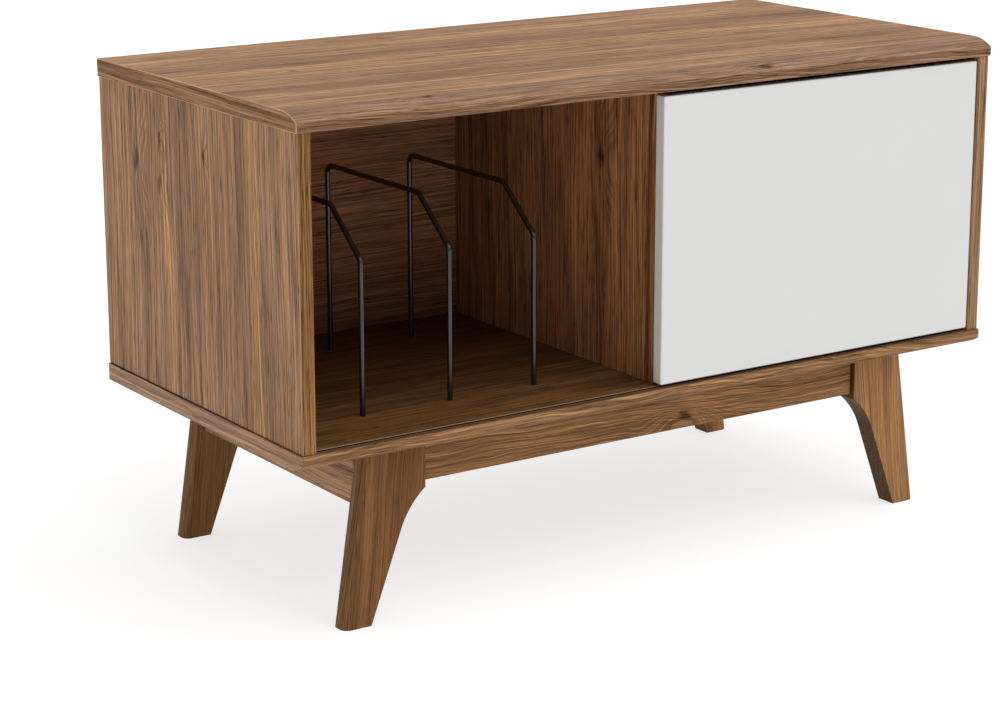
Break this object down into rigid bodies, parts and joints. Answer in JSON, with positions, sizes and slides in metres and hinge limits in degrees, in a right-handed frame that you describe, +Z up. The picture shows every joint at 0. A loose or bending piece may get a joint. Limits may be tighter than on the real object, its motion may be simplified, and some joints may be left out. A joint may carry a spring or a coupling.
{
  "type": "record display stand",
  "caption": "Low walnut-finish record stand on splayed legs, with an open bay of bent-wire dividers beside a closed bay, and a white door that slides across the front.",
  "frame": {"origin": "on the floor, under the middle of the stand", "axes": "+X to the right of someone facing the stand, +Y to its rear, +Z up"},
  "size_m": [0.9272, 0.4444, 0.5588],
  "materials": {
    "walnut": "satin walnut-grain laminate",
    "white_lacquer": "gloss white",
    "black_wire": "satin black coating",
    "brown_plastic": "satin brown extrusion",
    "nylon": "dark nylon",
    "zinc": "die-cast zinc",
    "steel": "bright plated steel"
  },
  "bodies": {
    "carcass": {"back_panel": "walnut", "bottom_panel": "walnut", "bottom_track": "brown_plastic", "centre_divider": "walnut", "centre_front_cam_bolt": "steel", "centre_front_cam_lock": "zinc", "centre_front_screw": "steel", "centre_rear_cam_bolt": "steel", "centre_rear_cam_lock": "zinc", "centre_rear_screw": "steel", "front_apron": "walnut", "front_left_leg": "walnut", "front_left_leg_stud": "steel", "front_right_leg": "walnut", "front_right_leg_stud": "steel", "left_front_cam_bolt": "steel", "left_front_cam_lock": "zinc", "left_front_screw": "steel", "left_rear_cam_bolt": "steel", "left_rear_cam_lock": "zinc", "left_rear_screw": "steel", "left_side_panel": "walnut", "left_side_rail": "walnut", "rear_apron": "walnut", "rear_left_leg": "walnut", "rear_left_leg_stud": "steel", "rear_right_leg": "walnut", "rear_right_leg_stud": "steel", "right_front_cam_bolt": "steel", "right_front_cam_lock": "zinc", "right_front_screw": "steel", "right_rear_cam_bolt": "steel", "right_rear_cam_lock": "zinc", "right_rear_screw": "steel", "right_side_panel": "walnut", "right_side_rail": "walnut", "top_panel": "walnut", "top_track": "brown_plastic", "wire_divider_1": "black_wire", "wire_divider_2": "black_wire", "wire_divider_3": "black_wire"},
    "door": {"door_panel": "white_lacquer", "left_guide_bush": "nylon", "left_guide_spring": "steel", "left_roller_axle": "steel", "left_roller_housing": "nylon", "right_guide_bush": "nylon", "right_guide_spring": "steel", "right_roller_axle": "steel", "right_roller_housing": "nylon"},
    "left_roller": {"left_roller_wheel": "nylon"},
    "right_roller": {"right_roller_wheel": "nylon"},
    "left_pin": {"left_guide_pin": "nylon"},
    "right_pin": {"right_guide_pin": "nylon"}
  },
  "joints": [
    {"name": "door_slide", "type": "slide", "parent": "carcass", "child": "door", "axis": [-1, 0, 0], "range_m": [0, 0.43205]},
    {"name": "left_roller_spin", "type": "hinge", "parent": "door", "child": "left_roller", "pos_m": [0.048, -0.21275, 0.2188], "axis": [0, -1, 0], "continuous": true},
    {"name": "right_roller_spin", "type": "hinge", "parent": "door", "child": "right_roller", "pos_m": [0.38405, -0.21275, 0.2188], "axis": [0, -1, 0], "continuous": true},
    {"name": "left_pin_press", "type": "slide", "parent": "door", "child": "left_pin", "axis": [0, 0, -1], "range_m": [0, 0.005], "stiffness_N_per_m": 200, "springref_m": -0.006, "deforming": ["left_guide_spring"]},
    {"name": "right_pin_press", "type": "slide", "parent": "door", "child": "right_pin", "axis": [0, 0, -1], "range_m": [0, 0.005], "stiffness_N_per_m": 200, "springref_m": -0.006, "deforming": ["right_guide_spring"]}
  ],
  "couplings": [
    {"joint": "left_roller_spin", "follows": "door_slide", "rad_per_m": 86.957},
    {"joint": "right_roller_spin", "follows": "door_slide", "rad_per_m": 86.957}
  ]
}
